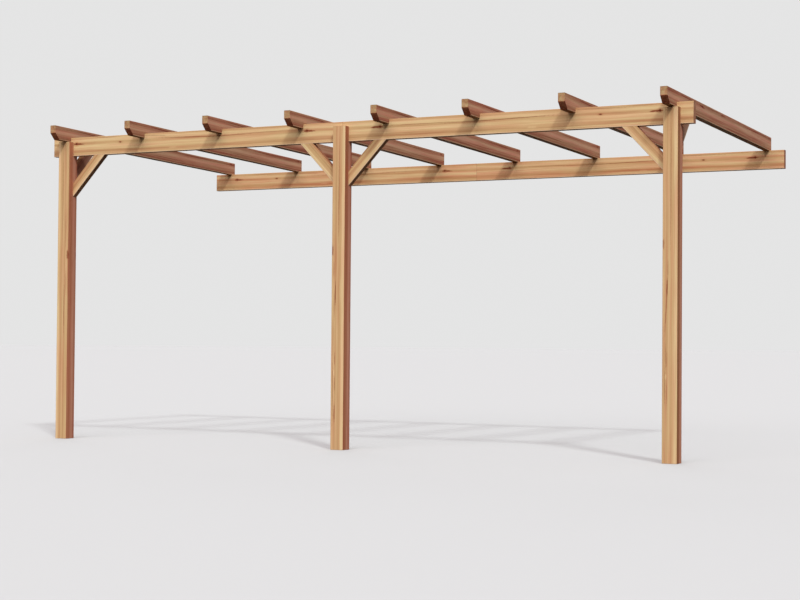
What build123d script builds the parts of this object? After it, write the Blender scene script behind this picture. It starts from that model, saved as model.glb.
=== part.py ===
from build123d import *
import math
import os

# Lean-to garden pergola: three posts carry a beam, eight rafters run back to a wall plate.
# Origin: centre of the middle post's foot. +X along the beam, +Y towards the wall, +Z up.

# Timber sections
post_size = 95
beam_thickness = 45
beam_height = 135
rafter_thickness = 47
rafter_depth = 100
plate_thickness = 45
plate_height = 135
brace_thickness = 45
brace_width = 70
arris = 3

# Setting out
post_spacing = 2310
beam_bottom = 2070
beam_overhang = 82.5
wall_distance = 2270
plate_bottom = 2000
rafter_count = 8
rafter_overhang = 130

# Joints
beam_notch = 30
plate_notch = 2
notch_clearance = 1
cheek_clearance = 4
tail_undercut = 45

# A brace reaches along the beam or rafter, and drops down the post
brace_reach = 282
brace_drop = 297
rafter_brace_reach = 288
rafter_brace_drop = 302

# Faces that the pieces share
post_front = -post_size / 2
post_back = post_size / 2
beam_front = post_back - beam_thickness
beam_top = beam_bottom + beam_height
beam_end = post_spacing + post_size / 2 + beam_overhang
wall_face = post_front + wall_distance
plate_front = wall_face - plate_thickness
plate_top = plate_bottom + plate_height
rafter_spacing = 2 * post_spacing / (rafter_count - 1)

# The rafters fall from their seat on the beam to their seat on the wall plate
front_seat = beam_top - beam_notch
wall_seat = plate_top - plate_notch
fall = (front_seat - wall_seat) / (plate_front - beam_front)
plumb_depth = rafter_depth * math.hypot(1, fall)
cheek_top = front_seat - cheek_clearance


def underside(y):
    """Height of the rafters' underside at a distance y."""
    return front_seat - fall * (y - beam_front)


# Post with its head housed for the beam: a cheek stays in front, a shoulder carries the beam
def make_post(centre_x):
    with BuildPart() as post:
        with BuildSketch(Plane.XY):
            with Locations((centre_x, 0)):
                RectangleRounded(post_size, post_size, arris)
        extrude(amount=cheek_top)
        with BuildSketch(Plane.XY.offset(beam_bottom)):
            with Locations((centre_x, beam_front + beam_thickness / 2)):
                Rectangle(2 * post_size, beam_thickness)
        extrude(amount=beam_height, mode=Mode.SUBTRACT)
    return post


# Straight length along X with eased arrises, used for the beam and the wall plate
def make_length(start_x, end_x, front_y, bottom_z, thickness, height):
    with BuildPart() as length:
        with BuildSketch(Plane.YZ.offset(start_x)):
            with Locations((front_y + thickness / 2, bottom_z + height / 2)):
                RectangleRounded(thickness, height, arris)
        extrude(amount=end_x - start_x)
    return length


# Rafter: plumb tail with a 45 degree undercut, notched over the beam, seated on the wall plate
def make_rafter(centre_x):
    tail = post_front - rafter_overhang
    with BuildPart() as rafter:
        with BuildSketch(Plane.YZ.offset(centre_x)):
            with BuildLine():
                Polyline(
                    (tail, underside(tail) + plumb_depth),
                    (wall_face, underside(wall_face) + plumb_depth),
                    (wall_face, underside(wall_face)),
                    (tail + tail_undercut, underside(tail + tail_undercut)),
                    (tail, underside(tail) + tail_undercut),
                    close=True,
                )
            make_face()
        extrude(amount=rafter_thickness / 2, both=True)
        fillet(rafter.edges().filter_by(Axis((0, 0, 0), (0, 1, -fall))), radius=arris)
        with BuildSketch(Plane.YZ.offset(centre_x)):
            with Locations((beam_front + beam_thickness / 2, beam_top - plumb_depth / 2)):
                Rectangle(beam_thickness + 2 * notch_clearance, plumb_depth)
            with Locations((plate_front + plate_thickness / 2, plate_top - plumb_depth / 2)):
                Rectangle(plate_thickness + 2 * notch_clearance, plumb_depth)
        extrude(amount=rafter_thickness, both=True, mode=Mode.SUBTRACT)
    return rafter


# Knee brace in line with the beam, from the side of a post up to the beam's underside
def make_beam_brace(centre_x, side):
    post_side = centre_x + side * post_size / 2
    length = math.hypot(brace_reach, brace_drop)
    head_cut = brace_width * length / brace_drop
    foot_cut = brace_width * length / brace_reach
    with BuildPart() as brace:
        with BuildSketch(Plane.XZ.offset(-beam_front)):
            with BuildLine():
                Polyline(
                    (post_side, beam_bottom - brace_drop),
                    (post_side + side * brace_reach, beam_bottom),
                    (post_side + side * (brace_reach - head_cut), beam_bottom),
                    (post_side, beam_bottom - brace_drop + foot_cut),
                    close=True,
                )
            make_face()
        extrude(amount=-brace_thickness)
        fillet(brace.edges().filter_by(Axis((0, 0, 0), (side * brace_reach, 0, brace_drop))), radius=arris)
    return brace


# Knee brace under an end rafter, from the back of its post up to the rafter's underside
def make_rafter_brace(centre_x):
    foot = underside(post_back) - rafter_brace_drop
    outer = post_back + rafter_brace_reach
    slope = (underside(outer) - foot) / rafter_brace_reach
    foot_cut = brace_width * math.hypot(1, slope)
    inner = outer - foot_cut / (slope + fall)
    with BuildPart() as brace:
        with BuildSketch(Plane.YZ.offset(centre_x)):
            with BuildLine():
                Polyline(
                    (post_back, foot),
                    (outer, underside(outer)),
                    (inner, underside(inner)),
                    (post_back, foot + foot_cut),
                    close=True,
                )
            make_face()
        extrude(amount=brace_thickness / 2, both=True)
        fillet(brace.edges().filter_by(Axis((0, 0, 0), (0, 1, slope))), radius=arris)
    return brace


pieces = {
    "left_post": make_post(-post_spacing),
    "middle_post": make_post(0),
    "right_post": make_post(post_spacing),
    "left_beam": make_length(-beam_end, 0, beam_front, beam_bottom, beam_thickness, beam_height),
    "right_beam": make_length(0, beam_end, beam_front, beam_bottom, beam_thickness, beam_height),
    "left_wall_plate": make_length(-beam_end, 0, plate_front, plate_bottom, plate_thickness, plate_height),
    "right_wall_plate": make_length(0, beam_end, plate_front, plate_bottom, plate_thickness, plate_height),
    "left_post_brace": make_beam_brace(-post_spacing, 1),
    "middle_post_left_brace": make_beam_brace(0, -1),
    "middle_post_right_brace": make_beam_brace(0, 1),
    "right_post_brace": make_beam_brace(post_spacing, -1),
    "left_rafter_brace": make_rafter_brace(-post_spacing),
    "right_rafter_brace": make_rafter_brace(post_spacing),
}
for number in range(rafter_count):
    pieces[f"rafter_{number + 1}"] = make_rafter(number * rafter_spacing - post_spacing)

os.makedirs("parts", exist_ok=True)
for name, piece in pieces.items():
    piece.part.label = name
    export_step(piece.part, f"parts/{name}.step")
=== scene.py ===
import math

import bmesh
import bpy
from mathutils import Euler, Matrix, Vector


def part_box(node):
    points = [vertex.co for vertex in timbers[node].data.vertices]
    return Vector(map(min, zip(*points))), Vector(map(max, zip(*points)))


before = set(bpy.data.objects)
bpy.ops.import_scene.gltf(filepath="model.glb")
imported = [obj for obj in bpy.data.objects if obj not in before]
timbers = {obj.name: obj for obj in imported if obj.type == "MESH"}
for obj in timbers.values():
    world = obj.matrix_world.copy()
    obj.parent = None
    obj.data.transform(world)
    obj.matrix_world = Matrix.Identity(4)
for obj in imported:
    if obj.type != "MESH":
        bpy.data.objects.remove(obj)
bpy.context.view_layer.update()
print("frame loaded:", len(timbers), "timbers")


# Camera, where the photograph was taken from
cameraSet = {
    "place": (5.518, -9.897, 0.7306),  # metres
    "turn": 27.138,  # degrees to the left of straight ahead
    "tilt": 1.395,  # degrees upwards
    "roll": 0.451,  # degrees
    "lens": 75.83,  # millimetres, on a sensor of this width
    "sensor": 36,
    "near": 0.1,
    "far": 400,
}


def placeCamera(values):
    lens = bpy.data.cameras.new("camera")
    lens.lens = values["lens"]
    lens.sensor_width = values["sensor"]
    lens.clip_start = values["near"]
    lens.clip_end = values["far"]
    camera = bpy.data.objects.new("camera", lens)
    bpy.context.scene.collection.objects.link(camera)
    turn = Matrix.Rotation(math.radians(values["turn"]), 4, "Z")
    tilt = Matrix.Rotation(math.radians(90 + values["tilt"]), 4, "X")
    roll = Matrix.Rotation(math.radians(values["roll"]), 4, "Z")
    camera.matrix_world = Matrix.Translation(values["place"]) @ turn @ tilt @ roll
    bpy.context.scene.camera = camera


placeCamera(cameraSet)
bpy.context.scene.view_settings.view_transform = "Standard"
print("camera placed")


# Short ways to write node trees
def paint(red, green, blue):
    shares = [value / 255 for value in (red, green, blue)]
    return (*[s / 12.92 if s <= 0.04045 else ((s + 0.055) / 1.055) ** 2.4 for s in shares], 1)


def addNode(tree, kind, settings=None, inputs=None):
    node = tree.nodes.new(kind)
    for name, value in (settings or {}).items():
        setattr(node, name, value)
    for name, value in (inputs or {}).items():
        if isinstance(value, bpy.types.NodeSocket):
            tree.links.new(value, node.inputs[name])
        else:
            node.inputs[name].default_value = value
    return node


def calc(tree, operation, *values, clamp=False):
    settings = {"operation": operation, "use_clamp": clamp}
    return addNode(tree, "ShaderNodeMath", settings, dict(enumerate(values))).outputs[0]


def fade(tree, value, start, end, low=0.0, high=1.0):
    settings = {"interpolation_type": "SMOOTHSTEP"}
    inputs = {"Value": value, "From Min": start, "From Max": end, "To Min": low, "To Max": high}
    return addNode(tree, "ShaderNodeMapRange", settings, inputs).outputs[0]


def blend(tree, share, first, second, how="MIX"):
    settings = {"data_type": "RGBA", "blend_type": how}
    return addNode(tree, "ShaderNodeMix", settings, {0: share, 6: first, 7: second}).outputs[2]


def vectorCalc(tree, operation, first, second):
    settings = {"operation": operation}
    return addNode(tree, "ShaderNodeVectorMath", settings, {0: first, 1: second}).outputs[0]


def joinVector(tree, x, y, z):
    return addNode(tree, "ShaderNodeCombineXYZ", None, {"X": x, "Y": y, "Z": z}).outputs[0]


def splitVector(tree, vector):
    return addNode(tree, "ShaderNodeSeparateXYZ", None, {0: vector}).outputs


def noise(tree, place, scale, detail=2.0, rough=0.5):
    inputs = {"Vector": place, "Scale": scale, "Detail": detail, "Roughness": rough}
    return addNode(tree, "ShaderNodeTexNoise", None, inputs)


def stretchedNoise(tree, place, factors, rough=0.5):
    return noise(tree, vectorCalc(tree, "MULTIPLY", place, factors), 1.0, 2.0, rough).outputs[0]


def newGroup(name, inputs, outputs):
    tree = bpy.data.node_groups.new(name, "ShaderNodeTree")
    for label, kind in inputs.items():
        tree.interface.new_socket(name=label, in_out="INPUT", socket_type="NodeSocket" + kind)
    for label, kind in outputs.items():
        tree.interface.new_socket(name=label, in_out="OUTPUT", socket_type="NodeSocket" + kind)
    return tree, tree.nodes.new("NodeGroupInput").outputs, tree.nodes.new("NodeGroupOutput")


def useGroup(tree, group, inputs):
    return addNode(tree, "ShaderNodeGroup", {"node_tree": group}, inputs).outputs


# A knot is a branch that runs through the timber's thickness, and a streak is a thin line along the grain
knotSet = {
    "ragScale": 160,
    "ragStretch": 0.35,  # longer waves along the grain than across it
    "ragDepth": 1.2,
    "coreEdge": (1.15, 0.55),  # where it begins and is full, in half widths from the middle
    "haloEdge": (2.6, 0.8),
    "bend": 0.7,  # how far the grain gives way to the knot
    "bendSoftness": 0.6,
    "bendFadeAlong": 0.2,
    "bendFadeAcross": 0.12,
}


def makeKnotGroup(values):
    tree, given, result = newGroup(
        "knot",
        {"Place": "Vector", "Centre": "Vector", "Reach": "Float", "Width": "Float", "Lean": "Float"},
        {"Push": "Float", "Core": "Float", "Halo": "Float"},
    )
    offset = splitVector(tree, vectorCalc(tree, "SUBTRACT", given["Place"], given["Centre"]))
    ragPlace = joinVector(tree, calc(tree, "MULTIPLY", offset[0], values["ragStretch"]), 0.0, offset[2])
    rag = noise(tree, ragPlace, values["ragScale"], 3, 0.6).outputs[0]
    ragged = calc(tree, "MULTIPLY_ADD", rag, values["ragDepth"], -values["ragDepth"] / 2)
    straight = calc(tree, "SUBTRACT", offset[2], calc(tree, "MULTIPLY", offset[0], given["Lean"]))
    along = calc(tree, "DIVIDE", offset[0], given["Reach"])
    across = calc(tree, "DIVIDE", straight, given["Width"])
    alongSquare = calc(tree, "MULTIPLY", along, along)
    acrossSquare = calc(tree, "MULTIPLY", across, across)
    distance = calc(tree, "SQRT", calc(tree, "ADD", alongSquare, acrossSquare))
    core = fade(tree, calc(tree, "ADD", distance, ragged), *values["coreEdge"])
    halo = fade(tree, distance, *values["haloEdge"])

    # the grain bends round the knot, and straightens further off
    fadeAlong = calc(tree, "MULTIPLY", alongSquare, values["bendFadeAlong"])
    fadeSum = calc(tree, "MULTIPLY_ADD", acrossSquare, values["bendFadeAcross"], fadeAlong)
    near = calc(tree, "EXPONENT", calc(tree, "MULTIPLY", fadeSum, -1.0))
    softness = calc(tree, "ADD", calc(tree, "ABSOLUTE", across), values["bendSoftness"])
    side = calc(tree, "DIVIDE", across, softness)
    push = calc(tree, "MULTIPLY", calc(tree, "MULTIPLY", side, near), given["Width"])
    tree.links.new(calc(tree, "MULTIPLY", push, -values["bend"]), result.inputs["Push"])
    tree.links.new(core, result.inputs["Core"])
    tree.links.new(halo, result.inputs["Halo"])
    return tree


knotGroup = makeKnotGroup(knotSet)
print("knot group made")


# How the grain is drawn. Lengths are in metres, and an edge is where a mask begins and where it is full
grainSet = {
    "faceEdge": (0.0030, 0.0008),
    "endEdge": (0.0014, 0.0005),
    "undercutEdge": (0.004, 0.0),
    "knotEdge": (0.018, 0.008),
    "backEdge": (-0.8, 0.6),  # from the front to the back of a side, as a share of half the thickness
    "driftScale": 1.3,
    "wander": 0.016,
    "ringsPerMetre": 190,
    "ringRipple": 0.8,
    "rippleScale": 70,
    "rippleStretch": 0.04,
    "ringSharpness": 3.5,
    "ringMean": 0.23,  # about what a ring of that sharpness comes to on average
    "ringDepth": 0.30,
    "patchScale": (0.9, 45, 45),
    "patchDepth": 0.75,
    "lineScale": (2.2, 150, 150),
    "lineDepth": 0.75,
    "fibreScale": (7, 800, 800),
    "fibreDepth": 0.35,
    "streakDepth": 0.45,
    "endCalm": 0.7,  # how much weaker the bands are on a cut end
    "redScale": (2.6, 60, 60),
    "redRange": (0.35, 0.70),
    "knotDark": (84, 34, 22),
    "knotPale": (128, 60, 38),
    "knotShare": 0.95,
    "haloColour": (172, 104, 68),
    "haloShare": 0.35,
    "streakColour": (128, 62, 40),
    "streakShare": 0.9,
    # painted highlight: a pale line along the lower front arris, patchy like wear
    "wearAndHighlightColour": (226, 198, 160),
    "wearAndHighlightEdge": (0.008, 0.002),
    "wearAndHighlightScale": 6,
    "wearAndHighlightStretch": (4, 1, 1),
    "wearAndHighlightRange": (0.1, 0.5, 0.5, 1.0),
    "roughness": 0.74,
    "paleSmoother": 0.10,
    "knotSmoother": 0.15,
    "endRougher": 0.12,
    "ringHeight": 0.4,
    "fibreHeight": 0.5,
    "knotHeight": 0.5,
    "streakHeight": 0.6,
    "bumpStrength": 0.4,
    "bumpDistance": 0.0008,
    "shine": 0.03,
}


def toneCurve(tree, value, half, points):
    share = calc(tree, "MULTIPLY_ADD", calc(tree, "DIVIDE", value, half), 0.5, 0.5)
    node = addNode(tree, "ShaderNodeFloatCurve", None, {"Value": share})
    line = node.mapping.curves[0]
    line.points[0].location = points[0]
    line.points[1].location = points[-1]
    for place, tone in points[1:-1]:
        line.points.new(place, tone)
    node.mapping.update()
    return node.outputs[0]


# The timber itself: bands of tone, growth rings round a far pith, fibre, end grain, painted shade on
# sides and some faces, and a pale lower arris that is worn and a painted highlight
def makeTimberGroup(name, values, faceTones, sideTones=None):
    tree, given, result = newGroup(
        name,
        {
            "Place": "Vector",
            "Half": "Vector",
            "Pith": "Vector",
            "Seed": "Float",
            "Band depth": "Float",
            "Grain depth": "Float",
            "Wear and highlight": "Float",
            "Undercut": "Float",
            "Knot push": "Float",
            "Knot core": "Float",
            "Knot halo": "Float",
            "Streak": "Float",
            "Light": "Color",
            "Middle": "Color",
            "Dark": "Color",
            "Red": "Color",
            "Face": "Color",
            "Side": "Color",
            "Back": "Color",
            "End": "Color",
            "Below": "Color",
        },
        {"Colour": "Color", "Roughness": "Float", "Height": "Float"},
    )
    place = splitVector(tree, given["Place"])
    half = splitVector(tree, given["Half"])
    pith = splitVector(tree, given["Pith"])
    seed = given["Seed"]

    # distances from the ends, the wide faces, the sides and a rafter tail's undercut
    endDistance = calc(tree, "SUBTRACT", half[0], calc(tree, "ABSOLUTE", place[0]))
    faceDistance = calc(tree, "SUBTRACT", half[1], calc(tree, "ABSOLUTE", place[1]))
    sideDistance = calc(tree, "SUBTRACT", half[2], calc(tree, "ABSOLUTE", place[2]))
    fromTail = calc(tree, "ADD", place[0], half[0])
    fromLow = calc(tree, "ADD", place[2], half[2])
    lowTail = calc(tree, "SUBTRACT", calc(tree, "ADD", fromTail, fromLow), given["Undercut"])
    faceMask = fade(tree, faceDistance, *values["faceEdge"])
    sideMask = fade(tree, sideDistance, *values["faceEdge"])
    sideMask = calc(tree, "MULTIPLY", sideMask, calc(tree, "SUBTRACT", 1.0, faceMask))
    endMask = fade(tree, endDistance, *values["endEdge"])
    # the undercut mask carries painted shade, see below
    belowMask = fade(tree, lowTail, *values["undercutEdge"])

    # knots and streaks show on the wide faces, and only just reach round the arrises
    knotMask = fade(tree, faceDistance, *values["knotEdge"])
    core = calc(tree, "MULTIPLY", given["Knot core"], knotMask)
    halo = calc(tree, "MULTIPLY", given["Knot halo"], knotMask)
    streak = calc(tree, "MULTIPLY", given["Streak"], knotMask)

    # the grain wanders slowly along the length
    drift = joinVector(tree, calc(tree, "MULTIPLY_ADD", place[0], values["driftScale"], seed), seed, 0.0)
    slow = addNode(tree, "ShaderNodeSeparateColor", None, {0: noise(tree, drift, 1.0).outputs[1]}).outputs
    wanderY = calc(tree, "MULTIPLY_ADD", slow[0], values["wander"], -values["wander"] / 2)
    wanderZ = calc(tree, "MULTIPLY_ADD", slow[1], values["wander"], -values["wander"] / 2)
    bentY = calc(tree, "ADD", place[1], wanderY)
    bentZ = calc(tree, "ADD", calc(tree, "ADD", place[2], given["Knot push"]), wanderZ)

    # growth rings
    fromPithY = calc(tree, "SUBTRACT", bentY, pith[1])
    fromPithZ = calc(tree, "SUBTRACT", bentZ, pith[2])
    squareY = calc(tree, "MULTIPLY", fromPithY, fromPithY)
    radius = calc(tree, "SQRT", calc(tree, "MULTIPLY_ADD", fromPithZ, fromPithZ, squareY))
    rippleAlong = calc(tree, "MULTIPLY_ADD", place[0], values["rippleStretch"], seed)
    ripplePlace = joinVector(tree, rippleAlong, place[1], place[2])
    ripple = noise(tree, ripplePlace, values["rippleScale"]).outputs[0]
    rippled = calc(tree, "MULTIPLY", ripple, values["ringRipple"])
    rings = calc(tree, "MULTIPLY_ADD", radius, values["ringsPerMetre"], rippled)
    ringLine = calc(tree, "POWER", calc(tree, "FRACT", rings), values["ringSharpness"])

    # patches, lines and fibre lie along the grain
    flow = joinVector(tree, calc(tree, "ADD", place[0], seed), bentY, bentZ)
    patch = stretchedNoise(tree, flow, values["patchScale"])
    lines = stretchedNoise(tree, flow, values["lineScale"], 0.6)
    fibre = stretchedNoise(tree, flow, values["fibreScale"], 0.6)
    grain = calc(tree, "MULTIPLY", calc(tree, "SUBTRACT", patch, 0.5), values["patchDepth"])
    grain = calc(tree, "MULTIPLY_ADD", calc(tree, "SUBTRACT", lines, 0.5), values["lineDepth"], grain)
    grain = calc(tree, "MULTIPLY_ADD", calc(tree, "SUBTRACT", fibre, 0.5), values["fibreDepth"], grain)
    ringTone = calc(tree, "SUBTRACT", ringLine, values["ringMean"])
    grain = calc(tree, "MULTIPLY_ADD", ringTone, -values["ringDepth"], grain)

    # bands of tone across the faces, and on the posts across the sides too
    bands = toneCurve(tree, bentZ, half[2], faceTones)
    if sideTones:
        sideBands = toneCurve(tree, bentY, half[1], sideTones)
        bands = addNode(tree, "ShaderNodeMix", None, {0: sideMask, 2: bands, 3: sideBands}).outputs[0]
    calm = calc(tree, "MULTIPLY_ADD", endMask, -values["endCalm"], 1.0)
    bandDepth = calc(tree, "MULTIPLY", given["Band depth"], calm)
    tone = calc(tree, "MULTIPLY_ADD", calc(tree, "SUBTRACT", bands, 0.5), bandDepth, 0.5)
    tone = calc(tree, "MULTIPLY_ADD", grain, given["Grain depth"], tone)
    tone = calc(tree, "MULTIPLY_ADD", streak, -values["streakDepth"], tone, clamp=True)
    colour = blend(tree, fade(tree, tone, 0.0, 0.5), given["Dark"], given["Middle"])
    colour = blend(tree, fade(tree, tone, 0.5, 1.0), colour, given["Light"])

    # redder and yellower stretches
    redShare = fade(tree, stretchedNoise(tree, flow, values["redScale"]), *values["redRange"])
    colour = blend(tree, redShare, colour, blend(tree, 1.0, colour, given["Red"], "MULTIPLY"))

    # knots and streaks
    knotColour = blend(tree, ripple, paint(*values["knotDark"]), paint(*values["knotPale"]))
    haloShare = calc(tree, "MULTIPLY", halo, values["haloShare"])
    streakShare = calc(tree, "MAXIMUM", calc(tree, "MULTIPLY", streak, values["streakShare"]), 0.0)
    knotShare = calc(tree, "MULTIPLY", core, values["knotShare"])
    colour = blend(tree, haloShare, colour, paint(*values["haloColour"]))
    colour = blend(tree, streakShare, colour, paint(*values["streakColour"]))
    colour = blend(tree, knotShare, colour, knotColour)

    # painted shade: sides, and on some timbers the wide faces, are multiplied darker and redder, as
    # shaded faces look; ends are cut differently; the lower front arris gets a patchy pale line that is
    # worn and a painted highlight
    lowFront = calc(tree, "MAXIMUM", calc(tree, "ADD", place[1], half[1]), fromLow)
    wearAndHighlightPlace = vectorCalc(tree, "MULTIPLY", flow, values["wearAndHighlightStretch"])
    wearAndHighlightPatch = noise(tree, wearAndHighlightPlace, values["wearAndHighlightScale"], 3).outputs[0]
    wearAndHighlightPatch = fade(tree, wearAndHighlightPatch, *values["wearAndHighlightRange"])
    wearAndHighlightLow = calc(tree, "MULTIPLY", fade(tree, lowFront, *values["wearAndHighlightEdge"]), wearAndHighlightPatch)
    wearAndHighlightShare = calc(tree, "MULTIPLY", wearAndHighlightLow, given["Wear and highlight"])
    # painted shade: the side tint, changing from front to back across a side, makes the sides darker and
    # redder as shade would
    backShare = fade(tree, calc(tree, "DIVIDE", place[1], half[1]), *values["backEdge"])
    sideTint = blend(tree, backShare, given["Side"], given["Back"])
    colour = blend(tree, sideMask, colour, sideTint, "MULTIPLY")
    # painted shade: the face tint makes the wide faces of rafters and rafter braces darker and redder
    colour = blend(tree, faceMask, colour, given["Face"], "MULTIPLY")
    colour = blend(tree, wearAndHighlightShare, colour, paint(*values["wearAndHighlightColour"]))
    colour = blend(tree, endMask, colour, given["End"], "MULTIPLY")
    # painted shade: a rafter tail's undercut, which faces down, is multiplied darker and redder
    colour = blend(tree, belowMask, colour, given["Below"], "MULTIPLY")

    roughness = calc(tree, "MULTIPLY_ADD", tone, -values["paleSmoother"], values["roughness"])
    roughness = calc(tree, "MULTIPLY_ADD", core, -values["knotSmoother"], roughness)
    roughness = calc(tree, "MULTIPLY_ADD", endMask, values["endRougher"], roughness)
    fibreHeight = calc(tree, "MULTIPLY", fibre, values["fibreHeight"])
    height = calc(tree, "MULTIPLY_ADD", ringLine, values["ringHeight"], fibreHeight)
    height = calc(tree, "MULTIPLY_ADD", core, values["knotHeight"], height)
    height = calc(tree, "MULTIPLY_ADD", streak, -values["streakHeight"], height)
    tree.links.new(colour, result.inputs["Colour"])
    tree.links.new(roughness, result.inputs["Roughness"])
    tree.links.new(height, result.inputs["Height"])
    return tree


# One material for each timber, because each is cut from its own board
def makeTimber(name, group, values):
    material = bpy.data.materials.new(name.replace("_", " "))
    material.use_nodes = True
    tree = material.node_tree
    tree.nodes.clear()
    lowest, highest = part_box(name)
    centre = (lowest + highest) / 2
    turn = Euler([math.radians(angle) for angle in values["turn"]])
    objectPlace = addNode(tree, "ShaderNodeTexCoord").outputs["Object"]
    location = -(turn.to_matrix() @ centre) - Vector((0, 0, values["lift"]))
    mapping = {"Vector": objectPlace, "Location": location, "Rotation": turn}
    place = addNode(tree, "ShaderNodeMapping", {"vector_type": "POINT"}, mapping).outputs[0]
    push = core = halo = streak = 0.0
    for along, across, reach, width in values["knots"]:
        shape = {"Place": place, "Centre": (along, 0, across), "Reach": reach, "Width": width}
        knot = useGroup(tree, knotGroup, shape)
        push = calc(tree, "ADD", knot["Push"], push)
        core = calc(tree, "MAXIMUM", knot["Core"], core)
        halo = calc(tree, "MAXIMUM", knot["Halo"], halo)
    for along, across, reach, width, lean, strength in values["streaks"]:
        shape = {"Place": place, "Centre": (along, 0, across), "Reach": reach, "Width": width}
        shape["Lean"] = lean
        streak = calc(tree, "MULTIPLY_ADD", useGroup(tree, knotGroup, shape)["Core"], strength, streak)
    inputs = {
        "Place": place,
        "Half": values["half"],
        "Pith": values["pith"],
        "Seed": values["seed"],
        "Band depth": values["bandDepth"],
        "Grain depth": values["grainDepth"],
        "Wear and highlight": values["wearAndHighlight"],
        "Undercut": values["undercut"],
        "Knot push": push,
        "Knot core": core,
        "Knot halo": halo,
        "Streak": streak,
    }
    for key in ("Light", "Middle", "Dark", "Red", "Face", "Side", "Back", "End", "Below"):
        inputs[key] = paint(*values[key.lower()])
    wood = useGroup(tree, group, inputs)
    bumpInputs = {
        "Height": wood["Height"],
        "Strength": grainSet["bumpStrength"],
        "Distance": grainSet["bumpDistance"],
    }
    shaderInputs = {
        "Base Color": wood["Colour"],
        "Roughness": wood["Roughness"],
        "Normal": addNode(tree, "ShaderNodeBump", None, bumpInputs).outputs[0],
        "Specular IOR Level": grainSet["shine"],
    }
    shader = addNode(tree, "ShaderNodeBsdfPrincipled", None, shaderInputs)
    addNode(tree, "ShaderNodeOutputMaterial", None, {"Surface": shader.outputs[0]})
    return material


def dress(name, group, values):
    slots = timbers[name].data.materials
    material = makeTimber(name, group, values)
    if len(slots) == 0:
        slots.append(material)
    for index in range(len(slots)):
        slots[index] = material


# What all timbers share. A knot is along, across, reach, width
# A streak is the same and then lean and strength, below 0 for a pale one
timberSet = {
    "turn": (0, 0, 0),  # degrees, from the frame to the timber's own directions
    "lift": 0.0,
    "bandDepth": 0.9,
    "grainDepth": 1.0,
    # how strongly the lower front arris gets its pale line, worn and a painted highlight
    "wearAndHighlight": 0.0,
    "undercut": -1.0,  # no undercut below 0
    "light": (221, 199, 147),
    "middle": (202, 173, 123),
    "dark": (177, 135, 93),
    "red": (255, 238, 243),
    "face": (255, 255, 255),
    # painted shade: tops and undersides of beams, wall plates and rafters are darker; posts and braces
    # set their own
    "side": (220, 206, 194),
    "back": (220, 206, 194),
    "end": (200, 185, 175),
    "below": (255, 255, 255),
    "knots": [],
    "streaks": [],
}

# Posts: the grain runs up, local x is the height and local z points to the left
postSet = {
    "turn": (0, 90, 0),
    "half": (1.0855, 0.0475, 0.0475),
    "light": (222, 200, 150),
    "middle": (201, 171, 122),
    "dark": (176, 132, 89),
    # painted shade: both sides of a post are darker and redder than its front and back, as shaded faces
    # look
    "side": (224, 180, 184),
    "back": (228, 190, 208),
    "faceTones": [
        (0, 0.75), (0.1, 0.95), (0.24, 0.62), (0.34, 0.42), (0.42, 0.36), (0.56, 0.62), (0.66, 0.32),
        (0.76, 0.45), (0.86, 0.6), (1, 0.2),
    ],
    # across a side the tone falls to its darkest at the back edge, painted shade
    "sideTones": [(0, 0.5), (0.22, 0.25), (0.42, 0.4), (0.62, 0.85), (0.8, 0.65), (1, 0.1)],
}
posts = {
    "left_post": {
        "turn": (0, -90, 0),
        "seed": 3.1,
        "pith": (0, 0.06, 0.21),
        # painted shade on the sides, set lighter on this post
        "side": (245, 203, 213),
        "streaks": [
            (-0.256, 0.041, 0.040, 0.008, 0, 0.7), (0.12, 0.016, 0.22, 0.004, 0, 0.45),
            (-0.06, 0.030, 0.10, 0.004, 0, 0.3), (-0.65, -0.004, 0.35, 0.006, 0, 0.3),
            (-0.44, 0.024, 0.15, 0.003, 0, 0.4),
        ],
    },
    "middle_post": {
        "seed": 7.7,
        "pith": (0, 0.05, 0.24),
        "streaks": [
            (0.25, 0.041, 0.040, 0.008, 0, 0.55), (-0.04, 0.018, 0.090, 0.004, 0, 0.85),
            (-0.12, 0.026, 0.10, 0.003, 0, 0.5), (-0.70, 0.035, 0.24, 0.004, 0, 0.5),
            (-0.35, 0.033, 0.16, 0.003, 0, 0.4), (0.65, -0.003, 0.36, 0.005, 0, 0.35),
            (-0.57, 0.026, 0.02, 0.005, 0, -0.7), (-0.48, 0.020, 0.05, 0.003, 0, 0.5),
            (-0.84, 0.020, 0.07, 0.004, 0, 0.7), (-0.65, 0.020, 0.06, 0.003, 0, 0.6),
            (-0.02, -0.018, 0.10, 0.006, 0, -0.5), (0.12, 0.030, 0.06, 0.003, 0, 0.5),
        ],
    },
    "right_post": {
        "seed": 12.4,
        "pith": (0, 0.07, 0.20),
        # painted shade on the sides, set darker on this post
        "side": (196, 172, 164),
        "streaks": [
            (-0.11, 0.021, 0.20, 0.004, -0.05, 0.4), (-0.02, 0.018, 0.06, 0.004, 0, 0.7),
            (-0.62, 0.030, 0.12, 0.004, 0, 0.4), (-0.56, 0.024, 0.02, 0.006, 0, -0.7),
            (-0.44, 0.026, 0.09, 0.003, 0, 0.35), (0.60, -0.004, 0.40, 0.005, 0, 0.3),
            (-0.66, 0.019, 0.08, 0.003, 0, 0.35), (-0.46, 0.017, 0.06, 0.003, 0, 0.35),
            (0.25, 0.041, 0.035, 0.007, 0, 0.45), (0.10, 0.012, 0.06, 0.003, 0, 0.4),
        ],
    },
}
postGroup = makeTimberGroup("post timber", grainSet, postSet["faceTones"], postSet["sideTones"])
for name, own in posts.items():
    dress(name, postGroup, {**timberSet, **postSet, **own})
print("posts dressed")


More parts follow.
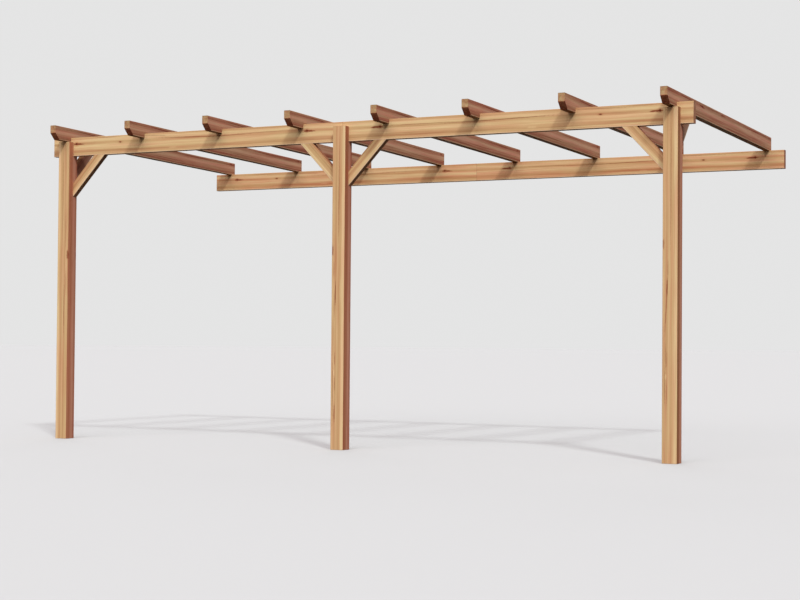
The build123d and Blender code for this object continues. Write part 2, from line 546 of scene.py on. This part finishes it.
# Beam and wall plate: the grain runs along x, local z is the height on the face
lengthSet = {
    "half": (1.22, 0.0225, 0.0675),
    "pith": (0, 0.08, -0.27),
    "grainDepth": 1.15,
    # the pale lower arris, worn and a painted highlight, at full strength
    "wearAndHighlight": 1.0,
    "end": (200, 176, 190),
    "faceTones": [
        (0, 0.5), (0.1, 0.62), (0.19, 0.12), (0.29, 0.38), (0.4, 0.8), (0.5, 0.85), (0.6, 0.38),
        (0.65, 0.32), (0.78, 0.95), (0.9, 0.55), (1, 0.25),
    ],
}
plateTint = {
    "light": (215, 189, 140),
    "middle": (198, 164, 116),
    "dark": (179, 134, 90),
    "red": (255, 230, 236),
}
leftKnots = [(-1.014, 0.021, 0.009, 0.009), (-0.622, 0.018, 0.012, 0.005), (0.941, 0.021, 0.009, 0.009)]
rightKnots = [(-0.936, 0.020, 0.009, 0.009), (0.619, 0.018, 0.012, 0.005), (1.007, 0.020, 0.009, 0.009)]
leftStreaks = [
    (-0.998, 0.019, 0.052, 0.0065, -0.03, 1.0), (0.957, 0.019, 0.052, 0.0065, -0.03, 1.0),
    (-0.03, 0.027, 0.30, 0.0035, -0.02, 0.55), (0.61, 0.030, 0.27, 0.0030, 0, 0.35),
    (-0.31, 0.050, 0.12, 0.0030, -0.04, 0.4), (-0.75, 0.058, 0.12, 0.0030, 0, 0.4),
    (-0.16, -0.041, 0.04, 0.0060, 0, -0.7), (0.30, 0.022, 0.20, 0.0030, 0.01, 0.4),
]
rightStreaks = [
    (-0.960, 0.019, 0.052, 0.0065, 0.03, 1.0), (0.985, 0.019, 0.052, 0.0065, 0.03, 1.0),
    (0.05, 0.025, 0.31, 0.0035, 0.02, 0.55), (-0.62, 0.024, 0.26, 0.0030, 0, 0.35),
    (0.62, 0.054, 0.20, 0.0030, -0.01, 0.45), (0.87, 0.058, 0.12, 0.0030, 0, 0.3),
    (0.16, -0.041, 0.04, 0.0060, 0, -0.7), (-0.30, 0.020, 0.20, 0.0030, 0.01, 0.4),
]
lengths = {
    "left_beam": {"seed": 21.3, "knots": leftKnots, "streaks": leftStreaks},
    "right_beam": {"seed": 24.6, "knots": rightKnots, "streaks": rightStreaks},
    "left_wall_plate": {"seed": 33.9, "knots": leftKnots, "streaks": leftStreaks, **plateTint},
    "right_wall_plate": {"seed": 37.2, "knots": rightKnots, "streaks": rightStreaks, **plateTint},
}
lengthGroup = makeTimberGroup("beam timber", grainSet, lengthSet["faceTones"])
for name, own in lengths.items():
    dress(name, lengthGroup, {**timberSet, **lengthSet, **own})
print("beam and wall plate dressed")


# Rafters: the grain runs down the slope, and the wide faces are local y
rafterSet = {
    "turn": (1.106, 0, -90),  # the first is the fall
    "half": (1.20, 0.0235, 0.050),
    "pith": (0, -0.05, 0.24),
    "bandDepth": 1.25,
    "grainDepth": 1.6,
    # the pale lower arris, worn and a painted highlight, at half strength
    "wearAndHighlight": 0.5,
    "undercut": 0.045,
    # painted shade on the undercut of the tail
    "below": (232, 182, 176),
    "light": (211, 191, 144),
    "middle": (189, 163, 118),
    "dark": (158, 120, 85),
    "red": (255, 225, 232),
    # painted shade: both wide faces are darker and redder, as shaded faces look
    "face": (232, 209, 222),
    "end": (231, 230, 226),
    "faceTones": [
        (0, 0.2), (0.08, 0.12), (0.18, 0.28), (0.35, 0.45), (0.45, 0.72), (0.55, 0.85), (0.65, 0.72),
        (0.75, 0.4), (0.85, 0.3), (1, 0.45),
    ],
    "count": 8,
    "firstSeed": 43.7,
    "seedStep": 3.7,
    "shift": 0.3,  # metres that the marks move from rafter to rafter
}
rafterGroup = makeTimberGroup("rafter timber", grainSet, rafterSet["faceTones"])
for number in range(1, rafterSet["count"] + 1):
    shift = rafterSet["shift"] * math.sin(5 * number)
    own = {
        "seed": rafterSet["firstSeed"] + rafterSet["seedStep"] * (number - 1),
        "knots": [
            (-0.49, 0.028, 0.018, 0.005), (-0.12 + 0.3 * shift, 0.030, 0.012, 0.004),
            (1.14, 0.035, 0.012, 0.005),
        ],
        "streaks": [
            (-0.50, 0.025, 0.06, 0.0050, -0.08, 1.0), (-0.82, 0.034, 0.14, 0.0035, -0.02, 0.7),
            (0.5 + shift, -0.02, 0.25, 0.003, 0, 0.5), (0.9 - shift, 0.03, 0.2, 0.003, 0, 0.45),
            (0.1 + shift, -0.034, 0.3, 0.003, 0.01, 0.4),
            (-0.10 + 0.3 * shift, 0.033, 0.07, 0.004, 0, 0.7),
            (0.75 + 0.5 * shift, 0.034, 0.25, 0.0035, 0, 0.6), (-0.25, 0.036, 0.16, 0.003, 0, 0.5),
        ],
    }
    dress(f"rafter_{number}", rafterGroup, {**timberSet, **rafterSet, **own})
print("rafters dressed")


# Knee braces: the grain runs up the slope, and local z is 0 halfway across the front
braceSet = {
    "half": (0.205, 0.0225, 0.035),
    "lift": 0.035,
    "pith": (0, 0.05, -0.16),
    # the pale lower arris, worn and a painted highlight, at full strength
    "wearAndHighlight": 1.0,
    "light": (222, 204, 152),
    "middle": (201, 175, 124),
    "dark": (175, 135, 93),
    # painted shade: the upper and lower edges of a brace are darker, as its underside is in shade
    "side": (211, 189, 191),
    "back": (211, 189, 191),
    "faceTones": [
        (0, 0.65), (0.15, 0.78), (0.3, 0.7), (0.45, 0.35), (0.6, 0.25), (0.7, 0.15), (0.82, 0.35),
        (0.92, 0.1), (1, 0.0),
    ],
}
# painted shade: the wide faces are darker, redder and bluish, and the edges darker still
rafterBraceTint = {"face": (196, 182, 208), "side": (155, 140, 144), "back": (195, 177, 181)}
beamBraceSlope = 46.484
rafterBraceSlope = 45.827
braces = {
    "left_post_brace": {"turn": (0, beamBraceSlope, 0), "seed": 81.0},
    "middle_post_left_brace": {"turn": (0, -beamBraceSlope, 0), "seed": 84.0},
    "middle_post_right_brace": {"turn": (0, beamBraceSlope, 0), "seed": 87.0},
    "right_post_brace": {"turn": (0, -beamBraceSlope, 0), "seed": 90.0},
    "left_rafter_brace": {
        "turn": (-rafterBraceSlope, 0, -90),
        "seed": 93.0,
        **rafterBraceTint,
        # painted shadow: this brace's wide faces are darker still, as it lies in shadow
        "face": (172, 149, 170),
    },
    "right_rafter_brace": {"turn": (-rafterBraceSlope, 0, -90), "seed": 96.0, **rafterBraceTint},
}
braceGroup = makeTimberGroup("brace timber", grainSet, braceSet["faceTones"])
for name, own in braces.items():
    dress(name, braceGroup, {**timberSet, **braceSet, **own})
print("braces dressed")


# What the camera and reflections see may differ from what lights the timbers
def mixSeen(tree, lighting, seen):
    path = addNode(tree, "ShaderNodeLightPath").outputs
    glossy = calc(tree, "MAXIMUM", path["Is Glossy Ray"], path["Is Transmission Ray"])
    direct = calc(tree, "MAXIMUM", path["Is Camera Ray"], glossy)
    return addNode(tree, "ShaderNodeMixShader", None, {0: direct, 1: lighting, 2: seen}).outputs[0]


# Plain pale floor
floorSet = {
    "radius": 160,
    "sides": 96,
    "drop": 0.0006,
    "colour": (0.507, 0.546, 0.54, 1),
    "bounce": (0.012, 0.01, 0.009, 1),
}


def makeFloor(values):
    mesh = bpy.data.meshes.new("floor")
    form = bmesh.new()
    bmesh.ops.create_circle(form, cap_ends=True, radius=values["radius"], segments=values["sides"])
    bmesh.ops.translate(form, verts=form.verts, vec=(0, 0, -values["drop"]))
    form.to_mesh(mesh)
    form.free()
    floor = bpy.data.objects.new("floor", mesh)
    bpy.context.scene.collection.objects.link(floor)
    material = bpy.data.materials.new("pale floor")
    material.use_nodes = True
    tree = material.node_tree
    tree.nodes.clear()
    bounce = addNode(tree, "ShaderNodeBsdfDiffuse", None, {"Color": values["bounce"]}).outputs[0]
    shown = addNode(tree, "ShaderNodeBsdfDiffuse", None, {"Color": values["colour"]}).outputs[0]
    addNode(tree, "ShaderNodeOutputMaterial", None, {"Surface": mixSeen(tree, bounce, shown)})
    mesh.materials.append(material)


makeFloor(floorSet)
print("floor laid")


# Soft studio light: a key from the upper right, a wide fill in front above it all, and one from behind
lightSet = {
    "middle": (0, 0, 2),  # the lamps stand off from here
    "distance": 3,
    "key": {"towards": (-0.64, 0.70, -1.0), "strength": 1.45, "spread": 6, "colour": (1, 1, 1)},
    "fill": {"towards": (-0.10, 0.74, -0.67), "strength": 1.85, "spread": 50, "colour": (1, 0.90, 0.92)},
    "rear": {"towards": (0.50, -0.80, -0.30), "strength": 1.5, "spread": 50, "colour": (1, 0.93, 0.94)},
    "sky": {"colour": (1, 0.88, 0.91, 1), "strength": 0.68},
    "background": {"colour": (0.78, 0.78, 0.78, 1), "strength": 1},
}


def addSun(name, values):
    light = bpy.data.lights.new(name, "SUN")
    light.energy = values["strength"]
    light.color = values["colour"]
    light.angle = math.radians(values["spread"])
    sun = bpy.data.objects.new(name, light)
    towards = Vector(values["towards"])
    sun.rotation_euler = towards.to_track_quat("-Z", "Y").to_euler()
    sun.location = Vector(lightSet["middle"]) - lightSet["distance"] * towards
    bpy.context.scene.collection.objects.link(sun)


def addGlow(tree, values):
    glow = {"Color": values["colour"], "Strength": values["strength"]}
    return addNode(tree, "ShaderNodeBackground", None, glow).outputs[0]


def makeWorld(values):
    world = bpy.data.worlds.new("studio")
    bpy.context.scene.world = world
    world.use_nodes = True
    tree = world.node_tree
    tree.nodes.clear()
    surface = mixSeen(tree, addGlow(tree, values["sky"]), addGlow(tree, values["background"]))
    addNode(tree, "ShaderNodeOutputWorld", None, {"Surface": surface})


for name in ("key", "fill", "rear"):
    addSun(name, lightSet[name])
makeWorld(lightSet)
print("lights set")
